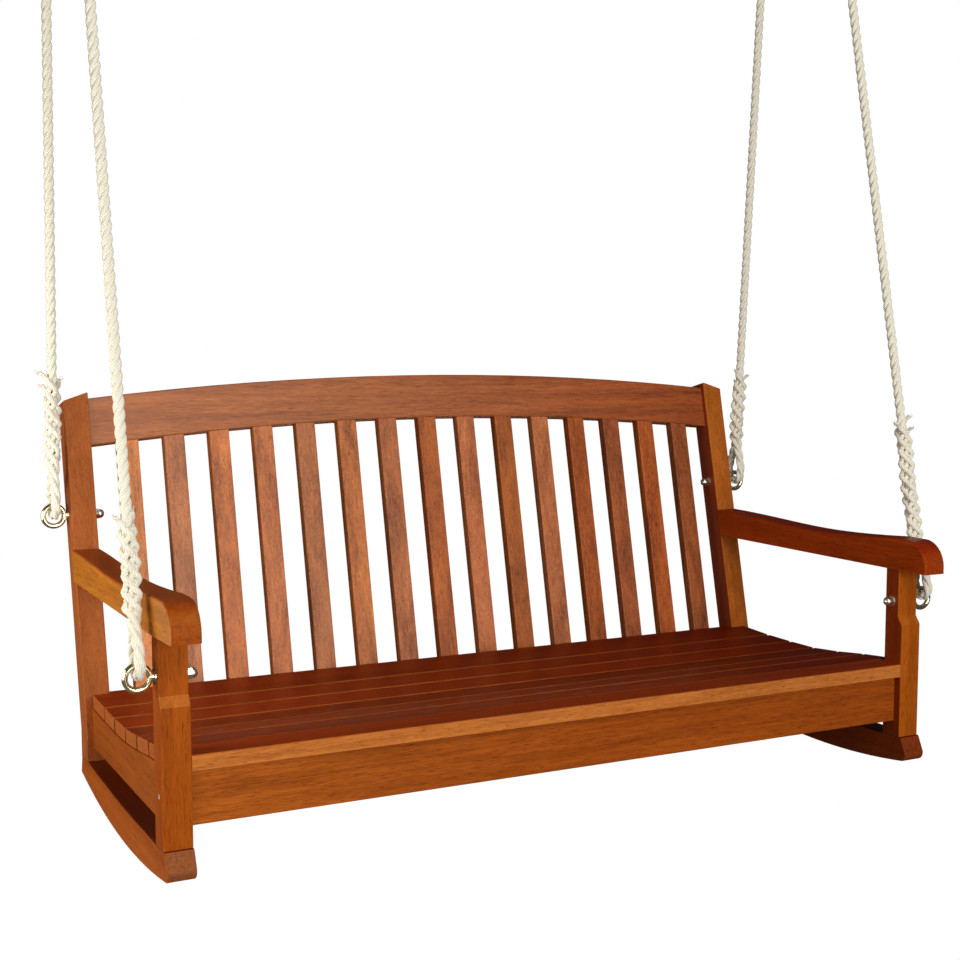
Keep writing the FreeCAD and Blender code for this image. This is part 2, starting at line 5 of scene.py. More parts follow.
import bpy
from mathutils import Euler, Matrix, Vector


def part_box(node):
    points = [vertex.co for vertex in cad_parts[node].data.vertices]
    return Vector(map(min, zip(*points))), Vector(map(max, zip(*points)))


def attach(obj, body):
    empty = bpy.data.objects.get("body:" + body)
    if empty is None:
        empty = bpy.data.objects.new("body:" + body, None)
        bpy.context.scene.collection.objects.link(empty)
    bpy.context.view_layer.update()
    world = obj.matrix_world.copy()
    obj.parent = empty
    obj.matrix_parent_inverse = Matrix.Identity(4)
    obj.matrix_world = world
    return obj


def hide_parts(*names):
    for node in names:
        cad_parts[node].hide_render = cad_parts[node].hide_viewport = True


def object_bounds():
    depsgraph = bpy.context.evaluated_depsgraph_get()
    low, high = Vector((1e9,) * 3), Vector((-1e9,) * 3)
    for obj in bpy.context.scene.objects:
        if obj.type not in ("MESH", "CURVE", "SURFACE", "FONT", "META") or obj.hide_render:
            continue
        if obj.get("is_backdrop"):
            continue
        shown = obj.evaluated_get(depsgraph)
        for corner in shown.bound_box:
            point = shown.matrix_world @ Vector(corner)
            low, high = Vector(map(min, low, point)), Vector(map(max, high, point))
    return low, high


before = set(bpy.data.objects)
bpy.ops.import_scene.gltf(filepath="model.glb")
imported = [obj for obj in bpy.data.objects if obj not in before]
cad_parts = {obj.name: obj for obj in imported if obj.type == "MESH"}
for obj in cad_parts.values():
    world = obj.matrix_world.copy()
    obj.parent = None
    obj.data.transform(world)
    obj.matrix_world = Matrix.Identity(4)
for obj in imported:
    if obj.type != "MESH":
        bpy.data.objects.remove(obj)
cad_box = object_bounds()

# ---- places of the object ----
FLOOR_GAP = 0.30            # from the floor up to the skids
FLOOR_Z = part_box("left_skid")[0].z - FLOOR_GAP
RAKE = math.radians(12.8)   # lean of the back
EYE_X = 0.632               # rings and ropes, from the centre line
BACK_SLATS = 15

# ---- rope facts ----
STRANDS = 3
STRAND_R = 0.00375
STRAND_OUT = 0.00375        # strand centres from the rope's centre
LAY_PITCH = 0.048           # one turn of the rope's strands
TUCK_PITCH = 0.066          # one turn of the tucked strands, the other way round
ROPE_STEP = 0.0032          # between the rings of a strand's mesh
STRAND_SIDES = 10
STRAND_TIP = 0.6            # point of a strand's end, in strand radii

# y and z of the places that the eyes turn round
PIVOT = {("front", "lower"): (-0.3375, -1.2285), ("front", "upper"): (-0.0970, -0.0600),
         ("rear", "lower"): (0.1640, -1.0815), ("rear", "upper"): (0.0970, -0.0600)}
# bend radius of each eye, and how far the bend's centre is from the pivot towards the rope
EYE_BEND = {("front", "lower"): (0.0120, 0.0), ("front", "upper"): (0.0125, 0.0),
            ("rear", "lower"): (0.0160, 0.0018), ("rear", "upper"): (0.0125, 0.0)}
EYE_JOIN = -0.0025          # where the two halves of an eye meet, across the rope's line
STANDING_LEG = 0.015        # straight part of the standing leg beyond the bend's centre
STANDING_CLOSED = 0.053     # from the pivot to where that leg is back on the rope's line
STANDING_CLEAR = 0.100      # a place on the straight rope past the eye
TAIL_PROUD = 0.001          # the tail's leg is this much more than the bend's radius from the join
TAIL_LEG = 0.017            # the same three measures along the tail
TAIL_CLOSED = 0.061
TAIL_CLEAR = 0.090

# splices: distances from the pivot, unless said otherwise
SPLICE = {("left", "front"): 0.190, ("right", "front"): 0.275,
          ("left", "rear"): 0.198, ("right", "rear"): 0.190}
UPPER_SPLICE = 0.145
FIRST_TUCK = 0.070
UNDER_TUCKS = (0.058, 0.074)    # the standing strands swell apart between these
TAIL_OPENS = (0.044, 0.074)     # the tail's strands part between these
LAST_TUCK = (0.030, 0.008)      # the last tuck runs between these, back from the splice's end
SWELL = 0.0016              # how far the tucks push the standing strands out, on average
SWELL_WAVE = 0.0020         # and from crossing to crossing
SPLICE_R = 0.0041           # a tucked strand, which opens a little once it leaves the lay
TUCK_OUT = 0.0084           # mean distance of the tucked strands from the rope's centre
TUCK_WAVE = 0.0020          # how far they rise over and dip under the standing strands
# how far the cut ends of each lower splice stand out
TUFT = {("left", "front"): 0.40, ("right", "front"): 1.0, ("left", "rear"): 1.5, ("right", "rear"): 0.6}
UPPER_TUFT = 0.6            # and those of the upper splices
TUFT_SWELL = 0.0012         # how far a cut strand lifts off the rope, for a tuft of 1
TIP_TURN = {"front": 0.0, "rear": math.pi}      # which way the longest end points, from the right
CUT_STEP = 0.010            # each next strand of a tail is cut about this much shorter
CUT_TAPER = (0.92, 0.72)    # radii of the last two rings of a cut strand, in strand radii
FRAY_YARNS = 13
FRAY_ROOT = 0.45            # where the yarns start, in strand radii from the strand's centre
FRAY_SPREAD = (0.0018, 0.0010)      # how far they spread on average, and how much that varies
FRAY_REACH = (0.0055, 0.0020)       # the same for their length
FRAY_LEAN = 0.0022          # how far they all lean away from the rope
FRAY_RADII = [0.0010, 0.0011, 0.0009, 0.0004]   # from root to tip
FRAY_SIDES = 5


# ---- small helpers ----
def link(obj):
    bpy.context.scene.collection.objects.link(obj)
    return obj


def new_material(name):
    mat = bpy.data.materials.new(name)
    mat.use_nodes = True
    mat.node_tree.nodes.clear()
    return mat, mat.node_tree


def add(tree, kind, **values):
    """A shader node with some of its properties set."""
    node = tree.nodes.new(kind)
    for key, value in values.items():
        setattr(node, key, value)
    return node


def smoothstep(low, high, x):
    u = min(max((x - low) / (high - low), 0.0), 1.0)
    return u * u * (3 - 2 * u)


# ---- wood ----
GRAIN_TURN = {"x": (0.0, 0.0, 0.0), "y": (0.0, 0.0, math.pi / 2), "z": (0.0, -math.pi / 2, 0.0),
              "rake": (-RAKE, -math.pi / 2, 0.0)}
GRAIN_WAY = {"x": (1.0, 0.0, 0.0), "y": (0.0, 1.0, 0.0), "z": (0.0, 0.0, 1.0),
             "rake": (0.0, math.sin(RAKE), math.cos(RAKE))}
FIGURE_SPREAD = 0.42        # how much lighter and darker than its colour a board's figure runs
WOOD_ROUGHNESS = (0.34, 0.56)
BETWEEN_BOARDS = (0.37, 0.113, 0.071)   # step through the grain pattern from board to board


def wood(name, colour, along, number, ends, faces=(), far=None, figure=1.0,
         sheen=(1.0, 0.42, 0.14), shine=0.30):
    """Oiled hardwood: fibres and pores along the board, slow bands across it, and its own tint.

    ends is the colour of the end grain. faces and far paint shade and light into the colour. Each of
    faces is a direction, the gain of each channel on faces that look that way, and the two cosines
    between which it comes in. far is a painted fall-off of the light: the gain at the right-hand end of
    a long board, and the two places along x between which it comes in."""
    mat, tree = new_material(name)
    out = add(tree, "ShaderNodeOutputMaterial")
    shader = add(tree, "ShaderNodeBsdfPrincipled")
    tree.links.new(shader.outputs[0], out.inputs[0])
    coords = add(tree, "ShaderNodeTexCoord")
    board = add(tree, "ShaderNodeMapping", vector_type="TEXTURE")
    board.inputs["Rotation"].default_value = GRAIN_TURN[along]
    board.inputs["Location"].default_value = [step * number for step in BETWEEN_BOARDS]
    tree.links.new(coords.outputs["Object"], board.inputs["Vector"])

    def stretched(scale):
        node = add(tree, "ShaderNodeMapping")
        node.inputs["Scale"].default_value = scale
        tree.links.new(board.outputs[0], node.inputs["Vector"])
        return node

    def noise(scale, detail, rough=0.5, distortion=0.0):
        node = add(tree, "ShaderNodeTexNoise")
        node.inputs["Scale"].default_value = 1.0
        node.inputs["Detail"].default_value = detail
        node.inputs["Roughness"].default_value = rough
        node.inputs["Distortion"].default_value = distortion
        tree.links.new(stretched(scale).outputs[0], node.inputs["Vector"])
        return node

    bands = noise((1.6, 34.0, 34.0), 3.0, 0.55, 0.6)
    streaks = noise((14.0, 250.0, 250.0), 4.0, 0.62)
    fibres = noise((60.0, 900.0, 900.0), 2.0, 0.5)
    pores = noise((70.0, 900.0, 900.0), 1.0, 0.5)

    def mixed(a, b, factor):
        node = add(tree, "ShaderNodeMix", data_type="FLOAT")
        node.inputs[0].default_value = factor
        tree.links.new(a, node.inputs[2])
        tree.links.new(b, node.inputs[3])
        return node.outputs[0]

    tone = mixed(bands.outputs["Fac"], streaks.outputs["Fac"], 0.45)
    tone = mixed(tone, fibres.outputs["Fac"], 0.28)
    ramp = add(tree, "ShaderNodeValToRGB")
    spread = FIGURE_SPREAD * figure
    stops = [(0.34, 1 - spread), (0.50, 1.0), (0.66, 1 + spread)]
    ramp.color_ramp.elements.new(0.5)
    for element, (at, gain) in zip(ramp.color_ramp.elements, stops):
        element.position = at
        warm = (gain ** 0.85, gain ** 1.05, gain ** 1.2)
        element.color = (*[min(c * w, 1.0) for c, w in zip(colour, warm)], 1.0)
    tree.links.new(tone, ramp.inputs[0])

    speck = add(tree, "ShaderNodeValToRGB")
    speck.color_ramp.elements[0].position = 0.60
    speck.color_ramp.elements[1].position = 0.72
    tree.links.new(pores.outputs["Fac"], speck.inputs[0])
    dark = add(tree, "ShaderNodeMix", data_type="RGBA", blend_type="MULTIPLY")
    dark.inputs[7].default_value = (0.62, 0.50, 0.42, 1.0)
    tree.links.new(speck.outputs[0], dark.inputs[0])
    tree.links.new(ramp.outputs[0], dark.inputs[6])

    def share(value, low, high):
        """0 where the value is under low, 1 where it is over high."""
        node = add(tree, "ShaderNodeMapRange")
        node.inputs["From Min"].default_value = low
        node.inputs["From Max"].default_value = high
        tree.links.new(value, node.inputs["Value"])
        return node.outputs[0]

    def gained(shade, gain, factor):
        """The shade times a gain for each channel, as far as the factor says."""
        node = add(tree, "ShaderNodeMix", data_type="RGBA", blend_type="MULTIPLY")
        node.inputs[7].default_value = (*gain, 1.0)
        tree.links.new(factor, node.inputs[0])
        tree.links.new(shade, node.inputs[6])
        return node.outputs[2]

    def looking(way):
        """Cosine between the surface's normal and a direction."""
        node = add(tree, "ShaderNodeVectorMath", operation="DOT_PRODUCT")
        node.inputs[1].default_value = way
        tree.links.new(coords.outputs["Normal"], node.inputs[0])
        return node.outputs["Value"]

    shade = dark.outputs[2]
    # painted shade and light on the faces that look each given way
    for way, gain, low, high in faces:
        shade = gained(shade, gain, share(looking(way), low, high))
    # painted fall-off of the light towards the right-hand end
    if far:
        gain, low, high = far
        place = add(tree, "ShaderNodeSeparateXYZ")
        tree.links.new(coords.outputs["Object"], place.inputs[0])
        shade = gained(shade, gain, share(place.outputs["X"], low, high))

    either_way = add(tree, "ShaderNodeMath", operation="ABSOLUTE")
    tree.links.new(looking(GRAIN_WAY[along]), either_way.inputs[0])
    rings = add(tree, "ShaderNodeValToRGB")
    rings.color_ramp.elements[0].position = 0.35
    rings.color_ramp.elements[0].color = (*[c * 0.72 for c in ends], 1.0)
    rings.color_ramp.elements[1].position = 0.62
    rings.color_ramp.elements[1].color = (*[min(c * 1.2, 1.0) for c in ends], 1.0)
    tree.links.new(streaks.outputs["Fac"], rings.inputs[0])
    whole = add(tree, "ShaderNodeMix", data_type="RGBA")
    tree.links.new(share(either_way.outputs[0], 0.80, 0.94), whole.inputs[0])
    tree.links.new(shade, whole.inputs[6])
    tree.links.new(rings.outputs[0], whole.inputs[7])
    tree.links.new(whole.outputs[2], shader.inputs["Base Color"])

    rough = add(tree, "ShaderNodeMapRange")
    rough.inputs["To Min"].default_value, rough.inputs["To Max"].default_value = WOOD_ROUGHNESS
    tree.links.new(streaks.outputs["Fac"], rough.inputs["Value"])
    tree.links.new(rough.outputs[0], shader.inputs["Roughness"])
    bump = add(tree, "ShaderNodeBump")
    bump.inputs["Strength"].default_value = 0.22
    bump.inputs["Distance"].default_value = 0.0006
    height = mixed(streaks.outputs["Fac"], fibres.outputs["Fac"], 0.5)
    tree.links.new(height, bump.inputs["Height"])
    tree.links.new(bump.outputs[0], shader.inputs["Normal"])
    shader.inputs["Specular IOR Level"].default_value = shine
    shader.inputs["Specular Tint"].default_value = (*sheen, 1.0)
    return mat


def metal(name, colour, roughness):
    """Plated steel or brass, with faint handling marks."""
    mat, tree = new_material(name)
    out = add(tree, "ShaderNodeOutputMaterial")
    shader = add(tree, "ShaderNodeBsdfPrincipled")
    tree.links.new(shader.outputs[0], out.inputs[0])
    shader.inputs["Metallic"].default_value = 1.0
    coords = add(tree, "ShaderNodeTexCoord")
    cloud = add(tree, "ShaderNodeTexNoise")
    cloud.inputs["Scale"].default_value = 160.0
    cloud.inputs["Detail"].default_value = 4.0
    tree.links.new(coords.outputs["Object"], cloud.inputs["Vector"])
    ramp = add(tree, "ShaderNodeValToRGB")
    ramp.color_ramp.elements[0].position = 0.30
    ramp.color_ramp.elements[0].color = (*[c * 0.82 for c in colour], 1.0)
    ramp.color_ramp.elements[1].position = 0.62
    ramp.color_ramp.elements[1].color = (*colour, 1.0)
    tree.links.new(cloud.outputs["Fac"], ramp.inputs[0])
    tree.links.new(ramp.outputs[0], shader.inputs["Base Color"])
    rough = add(tree, "ShaderNodeMapRange")
    rough.inputs["To Min"].default_value = roughness * 0.7
    rough.inputs["To Max"].default_value = roughness * 1.5
    tree.links.new(cloud.outputs["Fac"], rough.inputs["Value"])
    tree.links.new(rough.outputs[0], shader.inputs["Roughness"])
    bump = add(tree, "ShaderNodeBump")
    bump.inputs["Strength"].default_value = 0.08
    bump.inputs["Distance"].default_value = 0.0004
    tree.links.new(cloud.outputs["Fac"], bump.inputs["Height"])
    tree.links.new(bump.outputs[0], shader.inputs["Normal"])
    return mat


def rope_cloth(name, colour):
    """Spun rope yarns: fine lines wound round each strand, and darker colour in the hollows between
    them.
    """
    mat, tree = new_material(name)
    out = add(tree, "ShaderNodeOutputMaterial")
    shader = add(tree, "ShaderNodeBsdfPrincipled")
    tree.links.new(shader.outputs[0], out.inputs[0])
    shader.inputs["Roughness"].default_value = 0.86
    shader.inputs["Sheen Weight"].default_value = 0.35
    shader.inputs["Specular IOR Level"].default_value = 0.2
    coords = add(tree, "ShaderNodeTexCoord")
    turn = add(tree, "ShaderNodeMapping")
    turn.inputs["Rotation"].default_value = (0.0, 0.0, math.radians(32))
    tree.links.new(coords.outputs["UV"], turn.inputs["Vector"])
    yarns = add(tree, "ShaderNodeTexWave", wave_type="BANDS", bands_direction="X")
    yarns.inputs["Scale"].default_value = 2.2
    yarns.inputs["Distortion"].default_value = 1.2
    yarns.inputs["Detail"].default_value = 2.0
    tree.links.new(turn.outputs[0], yarns.inputs["Vector"])
    fuzz = add(tree, "ShaderNodeTexNoise")
    fuzz.inputs["Scale"].default_value = 420.0
    fuzz.inputs["Detail"].default_value = 3.0
    tree.links.new(coords.outputs["Object"], fuzz.inputs["Vector"])
    both = add(tree, "ShaderNodeMix", data_type="FLOAT")
    both.inputs[0].default_value = 0.4
    tree.links.new(yarns.outputs["Fac"], both.inputs[2])
    tree.links.new(fuzz.outputs["Fac"], both.inputs[3])
    ramp = add(tree, "ShaderNodeValToRGB")
    ramp.color_ramp.elements[0].position = 0.15
    ramp.color_ramp.elements[0].color = (*[c * k for c, k in zip(colour, (0.80, 0.76, 0.66))], 1.0)
    ramp.color_ramp.elements[1].position = 0.60
    ramp.color_ramp.elements[1].color = (*colour, 1.0)
    tree.links.new(both.outputs[0], ramp.inputs[0])
    tree.links.new(ramp.outputs[0], shader.inputs["Base Color"])
    bump = add(tree, "ShaderNodeBump")
    bump.inputs["Strength"].default_value = 0.5
    bump.inputs["Distance"].default_value = 0.0008
    tree.links.new(both.outputs[0], bump.inputs["Height"])
    tree.links.new(bump.outputs[0], shader.inputs["Normal"])
    return mat


def paint_node(name, mat):
    """Give a CAD node its material."""
    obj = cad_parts[name]
    if not obj.material_slots:
        obj.data.materials.append(mat)
    for material_slot in obj.material_slots:
        material_slot.material = mat


# ---- ropes ----
def nurbs_line(points):
    """Points read from the smooth spline that has the route's points as its control points."""
    curve = bpy.data.curves.new("route", "CURVE")
    curve.dimensions = "3D"
    curve.resolution_u = 32
    spline = curve.splines.new("NURBS")
    spline.points.add(len(points) - 1)
    for point, place in zip(spline.points, points):
        point.co = (*place, 1.0)
    spline.order_u = 3
    spline.use_endpoint_u = True
    obj = bpy.data.objects.new("route", curve)
    mesh = bpy.data.meshes.new_from_object(obj)
    line = [v.co.copy() for v in mesh.vertices]
    bpy.data.objects.remove(obj)
    bpy.data.curves.remove(curve)
    bpy.data.meshes.remove(mesh)
    return line


def even(line, step):
    """The same line with points a nearly constant step apart."""
    lengths = [0.0]
    for a, b in zip(line, line[1:]):
        lengths.append(lengths[-1] + (b - a).length)
    count = max(int(round(lengths[-1] / step)), 8)
    result = []
    k = 0
    for i in range(count + 1):
        target = lengths[-1] * i / count
        while k < len(line) - 2 and lengths[k + 1] < target:
            k += 1
        span = lengths[k + 1] - lengths[k]
        result.append(line[k].lerp(line[k + 1], (target - lengths[k]) / span if span else 0.0))
    return result


def tangents(line):
    ends = [line[1] - line[0]] + [b - a for a, b in zip(line, line[2:])] + [line[-1] - line[-2]]
    return [t.normalized() for t in ends]


class TubeMesh:
    """Collects closed tubes and makes one mesh of them, with u round and v along each tube."""

    def __init__(self):
        self.verts = []
        self.faces = []
        self.uvs = []

    def add(self, centres, radii, sides=STRAND_SIDES):
        """A tube along centres, with a radius at each, and a blunt point at both ends."""
        ways = tangents(centres)
        side = ways[0].orthogonal().normalized()
        rings = []
        along = 0.0
        for i, (centre, way, r) in enumerate(zip(centres, ways, radii)):
            side = (side - way * side.dot(way)).normalized()
            up = way.cross(side)
            if i:
                along += (centre - centres[i - 1]).length
            ring = []
            for k in range(sides):
                a = 2 * math.pi * k / sides
                ring.append(len(self.verts))
                self.verts.append(centre + (side * math.cos(a) + up * math.sin(a)) * r)
            rings.append((ring, along / (2 * math.pi * STRAND_R)))
        for (low, v0), (high, v1) in zip(rings, rings[1:]):
            for k in range(sides):
                n = (k + 1) % sides
                self.faces.append((low[k], low[n], high[n], high[k]))
                u0, u1 = k / sides, (k + 1) / sides
                self.uvs.append(((u0, v0), (u1, v0), (u1, v1), (u0, v1)))
        ends = [(rings[0][0], centres[0], -ways[0], radii[0], True),
                (rings[-1][0], centres[-1], ways[-1], radii[-1], False)]
        for ring, centre, way, r, flip in ends:
            tip = len(self.verts)
            self.verts.append(centre + way * r * STRAND_TIP)
            for k in range(sides):
                n = (k + 1) % sides
                self.faces.append((ring[n], ring[k], tip) if flip else (ring[k], ring[n], tip))
                self.uvs.append(((0.0, 0.0), (0.1, 0.0), (0.05, 0.1)))

    def make(self, name, mat):
        mesh = bpy.data.meshes.new(name)
        mesh.from_pydata([tuple(v) for v in self.verts], [], self.faces)
        layer = mesh.uv_layers.new(name="yarn")
        flat = [value for face in self.uvs for uv in face for value in uv]
        layer.data.foreach_set("uv", flat)
        mesh.polygons.foreach_set("use_smooth", [True] * len(mesh.polygons))
        mesh.materials.append(mat)
        mesh.update()
        return link(bpy.data.objects.new(name, mesh))


def pivot(side, row, end):
    """Place on the ring, or on the hook, that an eye turns round."""
    x = -EYE_X if side == "left" else EYE_X
    return Vector((x, *PIVOT[row, end]))


def eye_route(side, row, end):
    """Control points of the half eye that the standing rope makes, from its join outwards."""
    base = pivot(side, row, end)
    along = (pivot(side, row, "upper" if end == "lower" else "lower") - base).normalized()
    across = Vector((0, along.z, -along.y)) if end == "lower" else Vector((0, -along.z, along.y))
    bend, shift = EYE_BEND[row, end]
    local = [(shift - bend, EYE_JOIN), (shift - bend, bend), (shift + STANDING_LEG, bend),
             (STANDING_CLOSED, 0), (STANDING_CLEAR, 0)]
    return [base + along * a + across * b for a, b in local]


def crossing(t):
    """Over-and-under phase of the tucks, at a distance t from the pivot."""
    return math.cos(math.pi * STRANDS * (1 / LAY_PITCH + 1 / TUCK_PITCH) * (t - FIRST_TUCK))


def ending(t, length):
    """0 along a splice and 1 at its end, at a distance t from the pivot."""
    return smoothstep(length - LAST_TUCK[0], length - LAST_TUCK[1], t)


def wound(line, hand, pitch, out_at, thick_at, phase):
    """Centres and radii of strands wound round a line; out_at and thick_at take a point of it."""
    ways = tangents(line)
    strands = [[] for _ in range(STRANDS)]
    radii = []
    s = 0.0
    for i, (centre, way) in enumerate(zip(line, ways)):
        if i:
            s += (centre - line[i - 1]).length
        side = Vector((1, 0, 0))
        up = way.cross(side)
        out = out_at(centre)
        radii.append(thick_at(centre))
        for k, strand in enumerate(strands):
            a = phase + hand * 2 * math.pi * s / pitch + 2 * math.pi * k / STRANDS
            strand.append(centre + (side * math.cos(a) + up * math.sin(a)) * out)
    return strands, radii


def standing_rope(side, row, mat):
    """Strands laid up along the whole route; they swell apart a little inside each splice."""
    route = eye_route(side, row, "lower") + eye_route(side, row, "upper")[::-1]
    line = even(nurbs_line(route), ROPE_STEP)
    low, high = pivot(side, row, "lower"), pivot(side, row, "upper")
    axis = (high - low).normalized()
    total = (high - low).length
    low_length = SPLICE[side, row]

    def out_at(centre):
        t = (centre - low).dot(axis)
        out = STRAND_OUT
        for distance, length in ((t, low_length), (total - t, UPPER_SPLICE)):
            inside = smoothstep(*UNDER_TUCKS, distance) * (1 - ending(distance, length))
            out += inside * (SWELL - SWELL_WAVE * crossing(distance))
        return out

    strands, radii = wound(line, 1, LAY_PITCH, out_at, lambda centre: STRAND_R, 0.0)
    tubes = TubeMesh()
    for strand in strands:
        tubes.add(strand, radii)
    piece = tubes.make("%s_%s_strands" % (side, row), mat)
    return piece, line


def splice(side, row, end, mat):
    """The other half of an eye, whose three strands open and are tucked round the standing rope."""
    start, near = eye_route(side, row, end)[:2]
    base = pivot(side, row, end)
    axis = (pivot(side, row, "upper" if end == "lower" else "lower") - base).normalized()
    length = SPLICE[side, row] if end == "lower" else UPPER_SPLICE
    tuft = TUFT[side, row] if end == "lower" else UPPER_TUFT
    turn = EYE_BEND[row, end][0]
    outward = (start - near).normalized()
    corner = start + outward * (turn + TAIL_PROUD)
    route = [start, corner, corner + axis * (turn + TAIL_LEG), base + axis * TAIL_CLOSED,
             base + axis * TAIL_CLEAR, base + axis * length]
    line = even(nurbs_line(route), ROPE_STEP)

    def out_at(centre):
        t = (centre - base).dot(axis)
        over = TUCK_OUT + TUCK_WAVE * crossing(t) + TUFT_SWELL * tuft * ending(t, length)
        return STRAND_OUT + smoothstep(*TAIL_OPENS, t) * (over - STRAND_OUT)

    def thick_at(centre):
        return STRAND_R + (SPLICE_R - STRAND_R) * smoothstep(*TAIL_OPENS, (centre - base).dot(axis))

    reach = sum((b - a).length for a, b in zip(line, line[1:]))
    phase = TIP_TURN[row] + 2 * math.pi * reach / TUCK_PITCH
    strands, radii = wound(line, -1, TUCK_PITCH, out_at, thick_at, phase)
    tubes = TubeMesh()
    for k, strand in enumerate(strands):
        keep = len(strand) - int(k * CUT_STEP / ROPE_STEP)
        body = strand[:keep]
        tubes.add(body, radii[:keep - len(CUT_TAPER)] + [STRAND_R * share for share in CUT_TAPER])
        way = (body[-1] - body[-3]).normalized()
        fray(tubes, body[-1], way, (body[-1] - line[keep - 1]).normalized(), k, tuft)
    return tubes.make("%s_%s_%s_splice" % (side, row, end), mat)


def fray(tubes, tip, way, outward, seed, tuft):
    """A short brush of yarn ends where a tucked strand was cut off."""
    across = way.cross(outward).normalized()
    for k in range(FRAY_YARNS):
        a = 2 * math.pi * k / FRAY_YARNS + seed
        aside = outward * math.cos(a) + across * math.sin(a)
        spread = tuft * (FRAY_SPREAD[0] + FRAY_SPREAD[1] * math.sin(2.3 * k + seed))
        reach = FRAY_REACH[0] + FRAY_REACH[1] * math.sin(1.7 * k + 2 * seed)
        root = tip + aside * STRAND_R * FRAY_ROOT
        points = []
        for j in range(len(FRAY_RADII)):
            u = j / (len(FRAY_RADII) - 1)
            bend = aside * spread * u * u
            points.append(root + way * reach * u + bend + outward * FRAY_LEAN * tuft * u * u)
        tubes.add(points, FRAY_RADII, FRAY_SIDES)


def ropes():
    mat = rope_cloth("rope_cream", (0.93, 0.89, 0.76))
    for row in ("front", "rear"):
        body = row + "_ropes"
        for side in ("left", "right"):
            rope, line = standing_rope(side, row, mat)
            ends = [splice(side, row, end, mat) for end in ("lower", "upper")]
            for piece in [rope] + ends:
                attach(piece, body)
            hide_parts("%s_%s_rope" % (side, row))
            for piece in ends:
                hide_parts("%s_%s_splices" % (side, row))
            length = sum((b - a).length for a, b in zip(line, line[1:]))
            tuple(line[0])


# ---- finish of the CAD nodes ----
# linear colours of the boards, in pairs where left and right differ; that difference is painted light
# and shade:
# lighter, in places with a painted sheen, where more light fell, and darker where less fell;
# END, NOSE and SKID_END are those of the end grain
POST = {"left": (0.35, 0.070, 0.004), "right": (0.43, 0.100, 0.006)}
FRAME = (0.39, 0.088, 0.010)
APRON = (0.39, 0.092, 0.010)
NOSING = (0.57, 0.185, 0.038)
SEAT_EDGE = (0.35, 0.090, 0.018)
CREST = (0.43, 0.118, 0.030)
SKID = {"left": (0.34, 0.076, 0.008), "right": (0.22, 0.032, 0.005)}
ARM = {"left": (0.44, 0.138, 0.014), "right": (0.31, 0.040, 0.003)}
REAR = {"left": (0.38, 0.105, 0.028), "right": (0.39, 0.102, 0.013)}
BACK = {"left": (0.49, 0.148, 0.040), "right": (0.35, 0.074, 0.012)}
END = (0.38, 0.100, 0.022)
NOSE = {"left": (0.29, 0.052, 0.004), "right": (0.29, 0.036, 0.003)}
SKID_END = {"left": (0.24, 0.076, 0.028), "right": (0.20, 0.034, 0.006)}

# shade and light painted into the wood, on top of what the lamps give: direction, gains of red,
# green and blue, and the two cosines between which it comes in
UP = (0.0, 0.0, 1.0)
LEFTWARD = (-1.0, 0.0, 0.0)
SEAT_TOP = (UP, (0.86, 0.37, 0.13), 0.80, 0.95)
NOSING_TOP = (UP, (0.62, 0.23, 0.10), 0.80, 0.95)
ARM_TOP = (UP, (0.78, 0.42, 0.38), 0.15, 0.80)
SKID_TOP = (UP, (0.30, 0.17, 0.36), 0.30, 0.60)
SHOULDER = {"left": (UP, (1.30, 1.8, 4.5), 0.15, 0.30), "right": (UP, (1.05, 1.15, 1.6), 0.15, 0.30)}
SHADED_SIDE = (LEFTWARD, (0.58, 0.36, 0.90), 0.50, 0.90)
# shade painted in the same way, as a fall-off of the light towards the right-hand end of a long board:
# gains, and the two places along x
APRON_PAINTED_FALLOFF = ((0.72, 0.60, 0.50), -0.55, 0.0)
SEAT_PAINTED_FALLOFF = ((0.64, 0.38, 0.34), -0.10, 0.60)
CREST_PAINTED_FALLOFF = ((0.80, 0.52, 0.28), -0.10, 0.60)


def tinted(colour, number, amount=0.12):
    """The same wood a little lighter or darker from board to board."""
    gain = 1 + amount * math.sin(2.4 * number + 0.7)
    hue = 1 + 0.5 * amount * math.sin(1.3 * number + 2.0)
    return (colour[0] * gain, colour[1] * gain * hue, colour[2] * gain * hue * hue)


def between(a, b, share):
    """A colour part of the way from a to b."""
    return tuple(p + (q - p) * share for p, q in zip(a, b))


